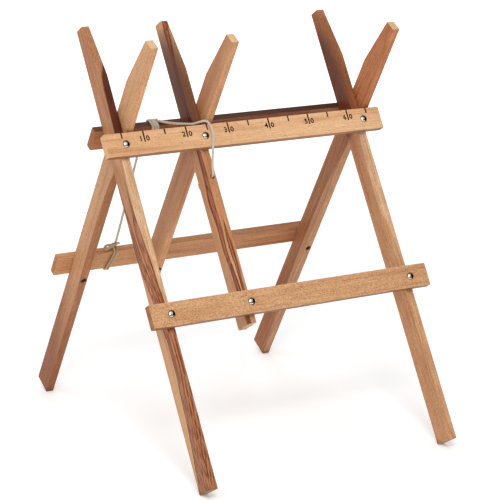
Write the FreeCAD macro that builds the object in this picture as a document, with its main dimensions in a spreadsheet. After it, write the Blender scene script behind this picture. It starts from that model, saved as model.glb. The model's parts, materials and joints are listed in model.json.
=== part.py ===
import FreeCAD, Part
import math
import os

import Sketcher
from FreeCAD import Placement, Rotation, Vector

# Folding sawhorse: two flat frames of beech laths, each three legs with two rails bolted across
# their outer faces, which cross in an X and turn about three pivot bolts on one line along X.
#
# Frame: millimetres, +Z up, X along the rails and the pivot line, the front frame's feet at -Y.
# The origin is at the centre of the outline's bottom, on the floor.
#
# Every piece of a frame is placed with three numbers: x along the pivot line, along = distance up
# the legs from the pivot line, out = distance from the legs' middle plane towards the rails.

DIMENSIONS = {
    "open_half_angle": 31.0,      # each frame's lean from upright, degrees, with the frames open
    "leg_width": 50.0,            # depth of a leg, from its inner face to the rails
    "leg_thick": 18.0,            # of a leg, along X
    "leg_gap": 1.2,               # between the two legs of a pair, filled by a washer
    "leg_above": 240.0,           # pivot line to the top of a leg
    "leg_below": 760.0,           # pivot line to the foot of an outer leg
    "leg_below_middle": 445.0,    # pivot line to the lower end of a middle leg
    "taper_length": 120.0,        # of the cut that narrows a leg towards its top
    "tip_width": 27.0,            # what the taper leaves of leg_width at the top
    "leg_round": 1.5,             # radius on a leg's edges
    "pair_middle": 186.0,         # left pair to middle pair
    "pair_right": 583.0,          # left pair to right pair
    "rail_length": 675.0,
    "rail_height": 50.0,
    "rail_thick": 18.0,
    "rail_round": 2.0,            # radius on a rail's edges
    "rail_overhang": 37.0,        # rail end beyond the face of its outer leg
    "upper_rail_drop": 39.5,      # pivot line down to the middle of an upper rail
    "lower_rail_drop": 403.0,     # pivot line down to the middle of a lower rail
    "rail_bolt_dia": 6.0,
    "rail_bolt_length": 65.0,
    "rail_bolt_bore": 6.2,
    "rail_head_dia": 15.5,
    "rail_head_rise": 4.0,
    "nut_flats": 10.0,
    "nut_height": 5.0,
    "nut_pocket_dia": 12.6,       # counterbore that sinks the nut, so that the frames fold flat
    "nut_pocket_depth": 9.0,
    "pivot_dia": 8.0,
    "pivot_bore": 8.1,
    "pivot_length": 34.5,
    "pivot_head_dia": 14.0,
    "pivot_head_rise": 2.4,
    "pivot_insert_dia": 12.0,     # threaded insert sunk in a front leg
    "pivot_insert_bore": 12.1,
    "pivot_insert_length": 14.0,
    "thread_gap": 0.05,           # radial, between a nut and its bolt
    "spacer_dia": 24.0,           # washer between the legs of a pair
    "spacer_thick": 1.0,
    "end_washer_dia": 16.0,       # washer under a pivot bolt's head
    "end_washer_thick": 1.6,
    "running_gap": 0.2,           # between faces that slide past each other
    "cord_dia": 5.5,
    "cord_hole_dia": 7.0,
    "cord_hole_drop": 124.0,      # pivot line down to the cord's hole in the middle front leg
    "cord_wrap": 5.8,             # how far the cord's turns stand out from the rail they go round
    "cord_slack": 0.1,            # between the turns and the rail
    "turns_width": 24.0,          # of the turns round the upper rear rail, along X
    "hitch_width": 15.0,          # of the hitch round the lower rear rail, along X
    "hitch_lump_width": 34.0,     # of the hitch's knot on top of that rail, along X
    "hitch_lump_height": 21.0,
    "hitch_lump_depth": 18.0,
    "knot_dia": 15.0,
}

doc = FreeCAD.newDocument("sawhorse")
sheet = doc.addObject("Spreadsheet::Sheet", "dims")
for row, (alias, value) in enumerate(DIMENSIONS.items(), start=1):
    sheet.set(f"A{row}", alias)
    sheet.set(f"B{row}", str(value))
    sheet.setAlias(f"B{row}", alias)
doc.recompute()


def dim(alias):
    return float(sheet.get(alias))


# --- places worked out from the dimensions ---------------------------------------------------

LEAN = math.radians(dim("open_half_angle"))
HALF_WIDTH = dim("leg_width") / 2
RAIL_OUT = HALF_WIDTH + dim("rail_thick")
ROUND = dim("leg_round")

# The outer legs stand on the rounded edge of their square-cut feet.
PIVOT_HEIGHT = (
    (dim("leg_below") - ROUND) * math.cos(LEAN)
    + (HALF_WIDTH - ROUND) * math.sin(LEAN)
    + ROUND
)

# The rear frame's legs stand beside the front frame's, one lath and one gap further along X.
PAIR_STEP = dim("leg_thick") + dim("leg_gap")
TOTAL_LENGTH = dim("rail_length") + PAIR_STEP
RAIL_LEFT = {"front": -TOTAL_LENGTH / 2, "rear": -TOTAL_LENGTH / 2 + PAIR_STEP}
PAIRS = {"left": 0.0, "middle": dim("pair_middle"), "right": dim("pair_right")}
RAIL_DROP = {"upper": "upper_rail_drop", "lower": "lower_rail_drop"}
OUTWARD = {"front": -1, "rear": 1}


def leg_left(side, pair):
    """The x of a leg's left face."""
    return RAIL_LEFT[side] + dim("rail_overhang") + PAIRS[pair]


def point(side, x, along, out):
    """A place on a frame, in the part's own coordinates."""
    sign = OUTWARD[side]
    y = sign * (-along * math.sin(LEAN) + out * math.cos(LEAN))
    z = PIVOT_HEIGHT + along * math.cos(LEAN) + out * math.sin(LEAN)
    return Vector(x, y, z)


def lean(side):
    """Turns a piece drawn upright, facing -Y for the front and +Y for the rear, into its frame."""
    return Rotation(Vector(1, 0, 0), OUTWARD[side] * math.degrees(LEAN))


def facing(side):
    """As lean, for a piece drawn facing -Y that serves both frames."""
    return lean(side) * Rotation(Vector(0, 0, 1), 0 if side == "front" else 180)


# --- sketches and features ------------------------------------------------------------------


def on_plane(body, role, name, offset=None):
    """A sketch on one of the body's origin planes, moved along its normal by an expression."""
    plane = next(o for o in body.Origin.OriginFeatures if o.Role == role)
    sketch = body.newObject("Sketcher::SketchObject", name)
    sketch.AttachmentSupport = [(plane, "")]
    sketch.MapMode = "FlatFace"
    if offset:
        sketch.setExpression("AttachmentOffset.Base.z", offset)
    return sketch


def outline(sketch, points):
    """A closed outline of straight edges, with its upright and level edges held so."""
    count = len(points)
    for i in range(count):
        start = Vector(*points[i], 0)
        end = Vector(*points[(i + 1) % count], 0)
        sketch.addGeometry(Part.LineSegment(start, end), False)
    for i in range(count):
        sketch.addConstraint(Sketcher.Constraint("Coincident", i, 2, (i + 1) % count, 1))
        along_x = points[(i + 1) % count][0] - points[i][0]
        along_y = points[(i + 1) % count][1] - points[i][1]
        if abs(along_x) < 1e-9:
            sketch.addConstraint(Sketcher.Constraint("Vertical", i))
        elif abs(along_y) < 1e-9:
            sketch.addConstraint(Sketcher.Constraint("Horizontal", i))


def place(sketch, name, kind, edge, end, value, expression):
    """Holds one end of an edge, or a circle's centre, at a signed distance from the origin."""
    index = sketch.addConstraint(Sketcher.Constraint(kind, edge, end, value))
    sketch.renameConstraint(index, name)
    sketch.setExpression(f"Constraints.{name}", expression)


def bore(body, name, role, centre, diameter, start=None, depth=None, flipped=False):
    """A round hole: through everything, or as deep as the expression depth."""
    before = body.Tip
    sketch = on_plane(body, role, name + "_centre", start)
    circle = Part.Circle(Vector(0, 0, 0), Vector(0, 0, 1), dim(diameter) / 2)
    sketch.addGeometry(circle, False)
    index = sketch.addConstraint(Sketcher.Constraint("Diameter", 0, dim(diameter)))
    sketch.renameConstraint(index, "size")
    sketch.setExpression("Constraints.size", f"dims.{diameter}")
    for kind, expression in zip(("DistanceX", "DistanceY"), centre):
        if expression is None:
            axis = -2 if kind == "DistanceX" else -1
            sketch.addConstraint(Sketcher.Constraint("PointOnObject", 0, 3, axis))
            continue
        value = float(FreeCAD.Units.Quantity(sketch.evalExpression(expression)).Value)
        place(sketch, kind.lower(), kind, 0, 3, value, expression)
    pocket = body.newObject("PartDesign::Pocket", name)
    pocket.Profile = sketch
    pocket.Reversed = flipped
    if depth:
        pocket.setExpression("Length", depth)
    else:
        pocket.Type = 1
    CUTS.append((body, before, pocket))


CUTS = []
NODES = []


def keep(piece, label, place_at):
    piece.Label = label
    piece.Placement = place_at
    NODES.append(piece)
    return piece


def rounded(body, base, radius):
    """Rounds every edge of the base feature."""
    doc.recompute()
    edges = [f"Edge{i + 1}" for i in range(len(base.Shape.Edges))]
    fillet = body.newObject("PartDesign::Fillet", "Edges")
    fillet.Base = (base, edges)
    fillet.setExpression("Radius", radius)
    doc.recompute()


# --- legs -------------------------------------------------------------------------------------


def make_leg(side, pair):
    """One leg, drawn upright with the pivot line through its local origin, +Y to the rear."""
    below = "leg_below_middle" if pair == "middle" else "leg_below"
    inner = -OUTWARD[side]
    body = doc.addObject("PartDesign::Body", f"leg_{side}_{pair}")

    # The taper is cut from the face that the log lies against, which above the pivot is
    # the face on the rails' side.
    cradle = -inner * HALF_WIDTH
    back = inner * HALF_WIDTH
    tip = back - inner * dim("tip_width")
    taper_start = dim("leg_above") - dim("taper_length")
    side_view = on_plane(body, "YZ_Plane", "SideView")
    outline(side_view, [
        (back, -dim(below)),
        (back, dim("leg_above")),
        (tip, dim("leg_above")),
        (cradle, taper_start),
        (cradle, -dim(below)),
    ])
    half = "dims.leg_width / 2"
    tip_place = f"{inner} * (dims.leg_width / 2 - dims.tip_width)"
    place(side_view, "back_face", "DistanceX", 0, 1, back, f"{inner} * {half}")
    place(side_view, "cradle_face", "DistanceX", 3, 1, cradle, f"{-inner} * {half}")
    place(side_view, "foot", "DistanceY", 0, 1, -dim(below), f"-dims.{below}")
    place(side_view, "top", "DistanceY", 0, 2, dim("leg_above"), "dims.leg_above")
    place(side_view, "tip", "DistanceX", 2, 1, tip, tip_place)
    place(side_view, "taper", "DistanceY", 2, 2, taper_start,
          "dims.leg_above - dims.taper_length")

    lath = body.newObject("PartDesign::Pad", "Lath")
    lath.Profile = side_view
    lath.setExpression("Length", "dims.leg_thick")
    rounded(body, lath, "dims.leg_round")

    # A front leg holds the pivot bolt's threaded insert, and its left face is left whole.
    if side == "front":
        bore(body, "PivotSocket", "YZ_Plane", (None, None), "pivot_insert_bore",
             start="dims.leg_thick", depth="dims.pivot_insert_length")
    else:
        bore(body, "PivotBore", "YZ_Plane", (None, None), "pivot_bore", flipped=True)
    middle = "dims.leg_thick / 2"
    nut_face = f"{-inner} * dims.leg_width / 2"
    for rail, drop in RAIL_DROP.items():
        bore(body, f"{rail.title()}BoltBore", "XZ_Plane", (middle, f"-dims.{drop}"),
             "rail_bolt_bore", start="dims.leg_width / 2")
        bore(body, f"{rail.title()}NutPocket", "XZ_Plane", (middle, f"-dims.{drop}"),
             "nut_pocket_dia", start=nut_face, depth="dims.nut_pocket_depth",
             flipped=side == "front")
    if (side, pair) == ("front", "middle"):
        bore(body, "CordHole", "XZ_Plane", (middle, "-dims.cord_hole_drop"),
             "cord_hole_dia", start="dims.leg_width / 2")
    keep(body, f"leg_{side}_{pair}", Placement(point(side, leg_left(side, pair), 0, 0), lean(side)))


# --- rails ------------------------------------------------------------------------------------


def make_rail(side, rail):
    """One rail, drawn upright with its left end and its face against the legs at x = y = 0."""
    body = doc.addObject("PartDesign::Body", f"rail_{side}_{rail}")
    length, half = dim("rail_length"), dim("rail_height") / 2
    face = on_plane(body, "XZ_Plane", "Face")
    outline(face, [(0, -half), (length, -half), (length, half), (0, half)])
    place(face, "left", "DistanceX", 0, 1, 0, "0")
    place(face, "right", "DistanceX", 1, 1, length, "dims.rail_length")
    place(face, "bottom", "DistanceY", 0, 1, -half, "-dims.rail_height / 2")
    place(face, "top", "DistanceY", 2, 1, half, "dims.rail_height / 2")

    lath = body.newObject("PartDesign::Pad", "Lath")
    lath.Profile = face
    lath.Reversed = side == "rear"
    lath.setExpression("Length", "dims.rail_thick")
    rounded(body, lath, "dims.rail_round")

    for pair in PAIRS:
        step = "" if pair == "left" else f" + dims.pair_{pair}"
        across = f"dims.rail_overhang + dims.leg_thick / 2{step}"
        bore(body, f"{pair.title()}BoltBore", "XZ_Plane", (across, None),
             "rail_bolt_bore", flipped=side == "front")
    at = point(side, RAIL_LEFT[side], -dim(RAIL_DROP[rail]), HALF_WIDTH)
    keep(body, f"rail_{side}_{rail}", Placement(at, lean(side)))


# --- fasteners --------------------------------------------------------------------------------


def part_object(kind, name, at=Vector(0, 0, 0), turn=Rotation(), **expressions):
    piece = doc.addObject(kind, name)
    piece.Placement = Placement(at, turn)
    for prop, expression in expressions.items():
        piece.setExpression(prop, expression)
    return piece


TOWARDS_BACK = Rotation(Vector(1, 0, 0), -90)     # turns +Z to +Y
TOWARDS_FRONT = Rotation(Vector(1, 0, 0), 90)     # turns +Z to -Y
TOWARDS_RIGHT = Rotation(Vector(0, 1, 0), 90)     # turns +Z to +X
TOWARDS_LEFT = Rotation(Vector(0, 1, 0), -90)     # turns +Z to -X


def dome_bolt(name, dia, length, head_dia, head_rise, shank_turn, head_turn):
    """A bolt with a low domed head that sits at the local origin, and a plain shank."""
    sphere = f"((dims.{head_dia} / 2)^2 + dims.{head_rise}^2) / (2 * dims.{head_rise})"
    ball = (dim(head_dia) ** 2 / 4 + dim(head_rise) ** 2) / (2 * dim(head_rise))
    sunk = ball - dim(head_rise)
    cut = f"asin(({sphere} - dims.{head_rise}) / ({sphere}))"
    seat = head_turn.multVec(Vector(0, 0, -sunk))
    head = part_object("Part::Sphere", name + "_head", seat, head_turn,
                       Radius=sphere, Angle1=cut)
    shank = part_object("Part::Cylinder", name + "_shank", turn=shank_turn,
                        Radius=f"dims.{dia} / 2", Height=f"dims.{length}")
    bolt = doc.addObject("Part::MultiFuse", name)
    bolt.Shapes = [head, shank]
    return bolt


def hex_nut(name, flats, height, hole, turn):
    """A hexagon nut that starts at the local origin and lies along the turned +Z."""
    hexagon = part_object("Part::Prism", name + "_hexagon", turn=turn,
                          Circumradius=f"dims.{flats} / 2 / cos(30)", Height=f"dims.{height}")
    hexagon.Polygon = 6
    thread = part_object("Part::Cylinder", name + "_thread", turn=turn,
                         Radius=f"dims.{hole} / 2 + dims.thread_gap", Height=f"dims.{height}")
    nut = doc.addObject("Part::Cut", name)
    nut.Base, nut.Tool = hexagon, thread
    return nut


def washer(name, outer, thick, turn):
    disc = part_object("Part::Cylinder", name + "_disc", turn=turn,
                       Radius=f"dims.{outer} / 2", Height=f"dims.{thick}")
    hole = part_object("Part::Cylinder", name + "_hole", turn=turn,
                       Radius="dims.pivot_bore / 2", Height=f"dims.{thick}")
    ring = doc.addObject("Part::Cut", name)
    ring.Base, ring.Tool = disc, hole
    return ring


def make_rail_fasteners(side, rail, pair):
    """The bolt through a rail and its leg, and the nut sunk in the leg's inner face."""
    x = leg_left(side, pair) + dim("leg_thick") / 2
    along = -dim(RAIL_DROP[rail])
    name = f"bolt_{side}_{rail}_{pair}"
    bolt = dome_bolt(name, "rail_bolt_dia", "rail_bolt_length",
                     "rail_head_dia", "rail_head_rise", TOWARDS_BACK, TOWARDS_FRONT)
    keep(bolt, name, Placement(point(side, x, along, RAIL_OUT), facing(side)))
    name = f"nut_{side}_{rail}_{pair}"
    nut = hex_nut(name, "nut_flats", "nut_height", "rail_bolt_dia", TOWARDS_BACK)
    seat = -HALF_WIDTH + dim("nut_pocket_depth")
    keep(nut, name, Placement(point(side, x, along, seat), facing(side)))


def make_pivot(pair):
    """The bolt that a pair of legs turns on, put in from the right, with its washers and insert."""
    axis = PIVOT_HEIGHT
    face = leg_left("front", pair) + dim("leg_thick")
    insert = washer(f"pivot_insert_{pair}", "pivot_insert_dia", "pivot_insert_length", TOWARDS_LEFT)
    keep(insert, f"pivot_insert_{pair}", Placement(Vector(face, 0, axis), Rotation()))
    spacer = washer(f"pivot_spacer_{pair}", "spacer_dia", "spacer_thick", TOWARDS_RIGHT)
    keep(spacer, f"pivot_spacer_{pair}", Placement(Vector(face, 0, axis), Rotation()))

    end = face + PAIR_STEP + dim("running_gap")
    end_washer = washer(f"pivot_washer_{pair}", "end_washer_dia", "end_washer_thick", TOWARDS_RIGHT)
    keep(end_washer, f"pivot_washer_{pair}", Placement(Vector(end, 0, axis), Rotation()))

    name = f"pivot_bolt_{pair}"
    bolt = dome_bolt(name, "pivot_dia", "pivot_length", "pivot_head_dia", "pivot_head_rise",
                     TOWARDS_LEFT, TOWARDS_RIGHT)
    end += dim("end_washer_thick")
    keep(bolt, name, Placement(Vector(end, 0, axis), Rotation()))


# --- the cord that holds a log down -----------------------------------------------------------
#
# It starts in a hole in the middle front leg, behind which a stop knot holds it, goes up over
# the upper front rail and across to the upper rear rail, where its spare length is wound in
# three turns, and runs down to a hitch on the lower rear rail. Each route is a list of points
# (x, along, out) on a frame, or (x, y, height above the pivot line) where it crosses over.

HOLE_X = leg_left("front", "middle") + dim("leg_thick") / 2
HOLE_ALONG = -dim("cord_hole_drop")
TURNS_LEFT = -198.0
HITCH_X = -187.0

FRONT_ROUTE = [
    (HOLE_X, HOLE_ALONG, 18.0),
    (HOLE_X, HOLE_ALONG, 30.5),
    (HOLE_X + 0.5, -106.0, 33.0),
    (HOLE_X + 3.0, -77.0, 44.5),
    (HOLE_X + 9.0, -53.0, 47.4),
    (HOLE_X + 12.0, -36.0, 47.2),
    (HOLE_X + 8.5, -14.5, 48.0),
    (HOLE_X + 5.8, -5.0, 41.0),
    (HOLE_X - 4.0, -6.5, 34.8),
    (HOLE_X - 14.5, -7.0, 29.5),
]
CROSSING_ROUTE = [
    (-136.5, -17.0, 8.4),
    (-150.0, -1.0, 7.4),
    (-163.0, 14.5, 8.0),
    (-172.0, 26.5, 9.8),
    (-176.5, 35.0, 8.2),
]
REAR_ROUTE = [
    (-195.0, -67.5, 46.0),
    (-194.8, -118.0, 44.6),
    (-193.6, -180.0, 40.2),
    (-191.9, -243.0, 37.2),
    (-189.6, -303.0, 35.8),
    (-187.2, -357.0, 36.0),
]


ARC_SHARE = 0.45              # of the shorter run beside a corner, taken up by the corner's arc


def bent_path(points):
    """Straight runs joined by tangent arcs, each as large as its two runs allow."""
    edges = []
    radii = []
    last = points[0]
    for before, corner, after in zip(points, points[1:], points[2:]):
        arrive = (corner - before).normalize()
        leave = (after - corner).normalize()
        half_turn = arrive.getAngle(leave) / 2
        reach = ARC_SHARE * min((corner - before).Length, (after - corner).Length)
        radius = reach / math.tan(half_turn)
        start = corner - arrive * reach
        end = corner + leave * reach
        bisector = (leave - arrive).normalize()
        middle = corner + bisector * (radius / math.cos(half_turn) - radius)
        edges.append(Part.LineSegment(last, start).toShape())
        edges.append(Part.Arc(start, middle, end).toShape())
        radii.append(radius)
        last = end
    edges.append(Part.LineSegment(last, points[-1]).toShape())
    return Part.Wire(edges), radii


def make_tube(label, points):
    path, radii = bent_path(points)
    radius = dim("cord_dia") / 2
    circle = Part.Wire([Part.makeCircle(radius, points[0], points[1] - points[0])])
    tube = doc.addObject("Part::Feature", label)
    tube.Shape = path.makePipeShell([circle], True, False)
    ratio = tube.Shape.Volume / (math.pi * radius ** 2 * path.Length)
    print(f"{label}: length {path.Length:.1f} volume ratio {ratio:.4f} radii",
          " ".join(f"{r:.0f}" for r in radii))
    keep(tube, label, Placement())
    return path.Length


def collar(name, x_left, width, clear, wrap):
    """A square ring round a rail lath that is drawn upright about the local X axis."""
    tall, thick = "dims.rail_height", "dims.rail_thick"
    outer = part_object("Part::Box", name + "_outer", Length=width,
                        Width=f"{thick} + 2 * {wrap}", Height=f"{tall} + 2 * {wrap}")
    inner = part_object("Part::Box", name + "_inner", Length=width,
                        Width=f"{thick} + 2 * {clear}", Height=f"{tall} + 2 * {clear}")
    for box in (outer, inner):
        box.setExpression("Placement.Base.x", f"{x_left}")
        box.setExpression("Placement.Base.y", "-Width / 2")
        box.setExpression("Placement.Base.z", "-Height / 2")
    ring = doc.addObject("Part::Cut", name)
    ring.Base, ring.Tool = outer, inner
    return ring


def make_cord():
    # The stop knot behind the leg, and the end of the cord that lies in the hole.
    knot_middle = Vector(0, dim("knot_dia") / 2, 0)
    knot = part_object("Part::Sphere", "stop_knot_ball", knot_middle, Radius="dims.knot_dia / 2")
    end = part_object("Part::Cylinder", "stop_knot_end", knot_middle, TOWARDS_FRONT,
                      Radius="dims.cord_dia / 2")
    end.Height = dim("knot_dia") / 2 + HALF_WIDTH + FRONT_ROUTE[0][2]
    stop = doc.addObject("Part::MultiFuse", "cord_stop_knot")
    stop.Shapes = [knot, end]
    keep(stop, "cord_stop_knot",
         Placement(point("front", HOLE_X, HOLE_ALONG, -HALF_WIDTH), facing("front")))

    front = [point("front", *p) for p in FRONT_ROUTE]
    crossing = [Vector(x, y, PIVOT_HEIGHT + rise) for x, y, rise in CROSSING_ROUTE]
    meeting = (front[-1] + crossing[0]) / 2
    length = make_tube("cord_front", front + [meeting])
    length += make_tube("cord_crossing", [meeting] + crossing)
    length += make_tube("cord_rear", [point("rear", *p) for p in REAR_ROUTE])

    # The turns round the upper rear rail, as one sleeve.
    middle_out = HALF_WIDTH + dim("rail_thick") / 2
    turns = collar("cord_turns", TURNS_LEFT, "dims.turns_width", "dims.cord_slack", "dims.cord_wrap")
    at = point("rear", 0, -dim("upper_rail_drop"), middle_out)
    keep(turns, "cord_turns", Placement(at, lean("rear")))

    # The hitch round the lower rear rail: its turns as a ring, its knot as a lump on top.
    ring = collar("cord_hitch_ring", HITCH_X - dim("hitch_width") / 2, "dims.hitch_width",
                  "dims.cord_slack", "dims.cord_wrap")
    lump = doc.addObject("Part::Ellipsoid", "cord_hitch_lump")
    lump.setExpression("Radius1", "dims.hitch_lump_height / 2")
    lump.setExpression("Radius2", "dims.hitch_lump_width / 2")
    lump.setExpression("Radius3", "dims.hitch_lump_depth / 2")
    lump.Placement.Base.x = HITCH_X
    lump.setExpression("Placement.Base.z",
                       "dims.rail_height / 2 + dims.hitch_lump_height / 2 + dims.cord_slack")
    hitch = doc.addObject("Part::MultiFuse", "cord_hitch")
    hitch.Shapes = [ring, lump]
    at = point("rear", 0, -dim("lower_rail_drop"), middle_out)
    keep(hitch, "cord_hitch", Placement(at, lean("rear")))

    around = 2 * (dim("rail_height") + dim("rail_thick")) + math.pi * dim("cord_dia")
    print(f"cord: tubes {length:.0f} mm, one turn round a rail about {around:.0f} mm")


# --- build and write --------------------------------------------------------------------------

for frame_side in OUTWARD:
    for leg_pair in PAIRS:
        make_leg(frame_side, leg_pair)
    for rail_level in RAIL_DROP:
        make_rail(frame_side, rail_level)
        for leg_pair in PAIRS:
            make_rail_fasteners(frame_side, rail_level, leg_pair)
for leg_pair in PAIRS:
    make_pivot(leg_pair)
make_cord()
doc.recompute()

for obj in doc.Objects:
    if "Invalid" in obj.State or "Error" in obj.State:
        raise RuntimeError(f"{obj.Label} failed: {obj.State}")
for body, before, pocket in CUTS:
    if pocket.Shape.Volume > before.Shape.Volume - 1.0:
        raise RuntimeError(f"{body.Label}: {pocket.Name} removes nothing")
for node in NODES:
    if node.Shape.isNull() or not node.Shape.isValid():
        raise RuntimeError(f"{node.Label} has no valid shape")
    if len(node.Shape.Solids) != 1:
        raise RuntimeError(f"{node.Label} is {len(node.Shape.Solids)} solids")

os.makedirs("parts", exist_ok=True)
for node in NODES:
    node.Shape.exportStep(f"parts/{node.Label}.step")

whole = Part.makeCompound([node.Shape for node in NODES]).BoundBox
print(f"{len(NODES)} nodes, pivot height {PIVOT_HEIGHT:.2f}")
print(f"box X {whole.XMin:.2f} {whole.XMax:.2f} Y {whole.YMin:.2f} {whole.YMax:.2f} "
      f"Z {whole.ZMin:.2f} {whole.ZMax:.2f}")
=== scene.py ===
import json
import math
import random

import bmesh
import bpy
from mathutils import Matrix, Vector


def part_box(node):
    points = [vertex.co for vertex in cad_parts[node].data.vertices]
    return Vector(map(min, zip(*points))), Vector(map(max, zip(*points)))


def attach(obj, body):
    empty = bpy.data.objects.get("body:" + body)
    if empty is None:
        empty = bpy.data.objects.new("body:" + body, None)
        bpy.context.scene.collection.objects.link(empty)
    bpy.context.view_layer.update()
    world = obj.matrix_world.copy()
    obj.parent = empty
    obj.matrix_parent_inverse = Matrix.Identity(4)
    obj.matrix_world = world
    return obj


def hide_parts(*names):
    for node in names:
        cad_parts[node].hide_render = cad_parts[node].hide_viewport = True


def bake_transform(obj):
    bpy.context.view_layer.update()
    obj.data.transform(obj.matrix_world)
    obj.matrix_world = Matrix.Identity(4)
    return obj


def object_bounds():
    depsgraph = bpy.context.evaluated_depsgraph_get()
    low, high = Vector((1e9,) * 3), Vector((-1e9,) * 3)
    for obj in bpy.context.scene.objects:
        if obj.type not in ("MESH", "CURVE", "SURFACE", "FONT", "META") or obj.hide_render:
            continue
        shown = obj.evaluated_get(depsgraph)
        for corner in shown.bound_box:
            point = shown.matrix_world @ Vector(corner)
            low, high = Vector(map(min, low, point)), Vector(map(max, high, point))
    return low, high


# The folding sawhorse's looks, in metres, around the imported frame.
#
# As in the part's own source, a place on one of the two frames is (x, along, out): x along the
# pivot line, along = up the legs from that line, out = from the legs' middle plane to the rails.

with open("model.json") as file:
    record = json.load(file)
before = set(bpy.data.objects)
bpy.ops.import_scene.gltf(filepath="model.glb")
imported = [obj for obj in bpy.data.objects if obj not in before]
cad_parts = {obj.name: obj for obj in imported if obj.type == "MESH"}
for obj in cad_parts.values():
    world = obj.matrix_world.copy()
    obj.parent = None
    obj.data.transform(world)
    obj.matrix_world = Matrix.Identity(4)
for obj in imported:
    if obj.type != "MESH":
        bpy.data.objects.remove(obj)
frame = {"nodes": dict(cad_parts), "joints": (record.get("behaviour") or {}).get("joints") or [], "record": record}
CAD_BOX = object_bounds()
NODES = frame["nodes"]
RECORD = frame["record"]
PIVOT = Vector(frame["joints"][0]["pos_m"])
MOUNTS = {m["name"]: m for m in RECORD["mounts"]}
LEAN = math.asin(MOUNTS["front_rail_face"]["axis"][2])
OUTWARD = {"front": -1, "rear": 1}

LATH_WIDE = 0.050
LATH_THICK = 0.018
HALF_WIDTH = LATH_WIDE / 2
RAIL_OUT = HALF_WIDTH + LATH_THICK
RAIL_MIDDLE = HALF_WIDTH + LATH_THICK / 2
UPPER_DROP = -0.0395
LOWER_DROP = -0.403
CORD_DIAMETER = 0.0055
CORD_HOLE_DROP = -0.124


def place(side, x, along, out):
    """A place on a frame, in the row frame."""
    sign = OUTWARD[side]
    y = sign * (-along * math.sin(LEAN) + out * math.cos(LEAN))
    z = along * math.cos(LEAN) + out * math.sin(LEAN)
    return Vector((x, y, PIVOT.z + z))


def axes(side):
    """Unit vectors of a frame: along the pivot line, up the legs, outwards."""
    start = place(side, 0, 0, 0)
    return (Vector((1, 0, 0)), place(side, 0, 1, 0) - start, place(side, 0, 0, 1) - start)


def middle_x(node):
    low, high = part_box(node)
    return (low.x + high.x) / 2


# --- camera -----------------------------------------------------------------------------------

CAMERA_PLACE = Vector((-2.096, -3.489, 1.4095))
CAMERA_YAW = math.radians(-31.343)
CAMERA_PITCH = math.radians(-14.195)
CAMERA_ROLL = math.radians(0.349)
CAMERA_LENS = 139.6          # millimetres, on a picture as wide as SENSOR_WIDTH
SENSOR_WIDTH = 36
FAR_CLIP = 200


def make_camera():
    forward = Vector((
        -math.sin(CAMERA_YAW) * math.cos(CAMERA_PITCH),
        math.cos(CAMERA_YAW) * math.cos(CAMERA_PITCH),
        math.sin(CAMERA_PITCH),
    ))
    right = Vector((math.cos(CAMERA_YAW), math.sin(CAMERA_YAW), 0))
    up = right.cross(forward)
    local_x = right * math.cos(CAMERA_ROLL) + up * math.sin(CAMERA_ROLL)
    local_y = up * math.cos(CAMERA_ROLL) - right * math.sin(CAMERA_ROLL)
    turn = Matrix((local_x, local_y, -forward)).transposed().to_4x4()
    data = bpy.data.cameras.new("camera")
    data.lens = CAMERA_LENS
    data.sensor_width = SENSOR_WIDTH
    data.clip_end = FAR_CLIP
    camera = bpy.data.objects.new("camera", data)
    camera.matrix_world = Matrix.Translation(CAMERA_PLACE) @ turn
    bpy.context.scene.collection.objects.link(camera)
    bpy.context.scene.camera = camera


# --- node helpers -----------------------------------------------------------------------------


class Graph:
    """A node tree in which an input may be given as a number, a colour or another node's socket."""

    def __init__(self, tree):
        self.tree = tree

    def add(self, kind, inputs=None, **settings):
        made = self.tree.nodes.new(kind)
        for key, value in settings.items():
            setattr(made, key, value)
        for key, value in (inputs or {}).items():
            self.put(made.inputs[key], value)
        return made

    def put(self, socket, value):
        if isinstance(value, bpy.types.NodeSocket):
            self.tree.links.new(value, socket)
        else:
            socket.default_value = value

    def math(self, operation, a, b=0.0, c=0.0, clamp=False):
        made = self.add("ShaderNodeMath", {0: a, 1: b, 2: c}, operation=operation)
        made.use_clamp = clamp
        return made.outputs[0]

    def plus(self, a, b):
        return self.math("ADD", a, b)

    def minus(self, a, b):
        return self.math("SUBTRACT", a, b)

    def times(self, a, b):
        return self.math("MULTIPLY", a, b)

    def step(self, value, low, high, to_low=0.0, to_high=1.0):
        """A smooth step of value from low to high."""
        made = self.add(
            "ShaderNodeMapRange",
            {"Value": value, "From Min": low, "From Max": high,
             "To Min": to_low, "To Max": to_high},
            interpolation_type="SMOOTHSTEP",
        )
        return made.outputs["Result"]

    def mix(self, share, a, b, blend="MIX"):
        made = self.add("ShaderNodeMix", data_type="RGBA", blend_type=blend)
        for index, value in ((0, share), (6, a), (7, b)):
            self.put(made.inputs[index], value)
        return made.outputs[2]

    def tint(self, colour, tint):
        return self.mix(1.0, colour, tint, "MULTIPLY")

    def noise(self, vector, scale, detail=3.0, rough=0.55):
        made = self.add(
            "ShaderNodeTexNoise",
            {"Vector": vector, "Scale": scale, "Detail": detail, "Roughness": rough},
        )
        return made.outputs["Fac"]

    def stretched(self, vector, scales, shift=(0, 0, 0)):
        made = self.add("ShaderNodeMapping", {"Vector": vector, "Scale": scales, "Location": shift})
        return made.outputs["Vector"]

    def pattern(self, vector, scales, detail, rough=0.55, shift=(0, 0, 0)):
        """Noise with a scale of its own along each axis."""
        return self.noise(self.stretched(vector, scales, shift), 1.0, detail, rough)

    def bump(self, height, strength, distance):
        inputs = {"Height": height, "Strength": strength, "Distance": distance}
        return self.add("ShaderNodeBump", inputs).outputs["Normal"]


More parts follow.
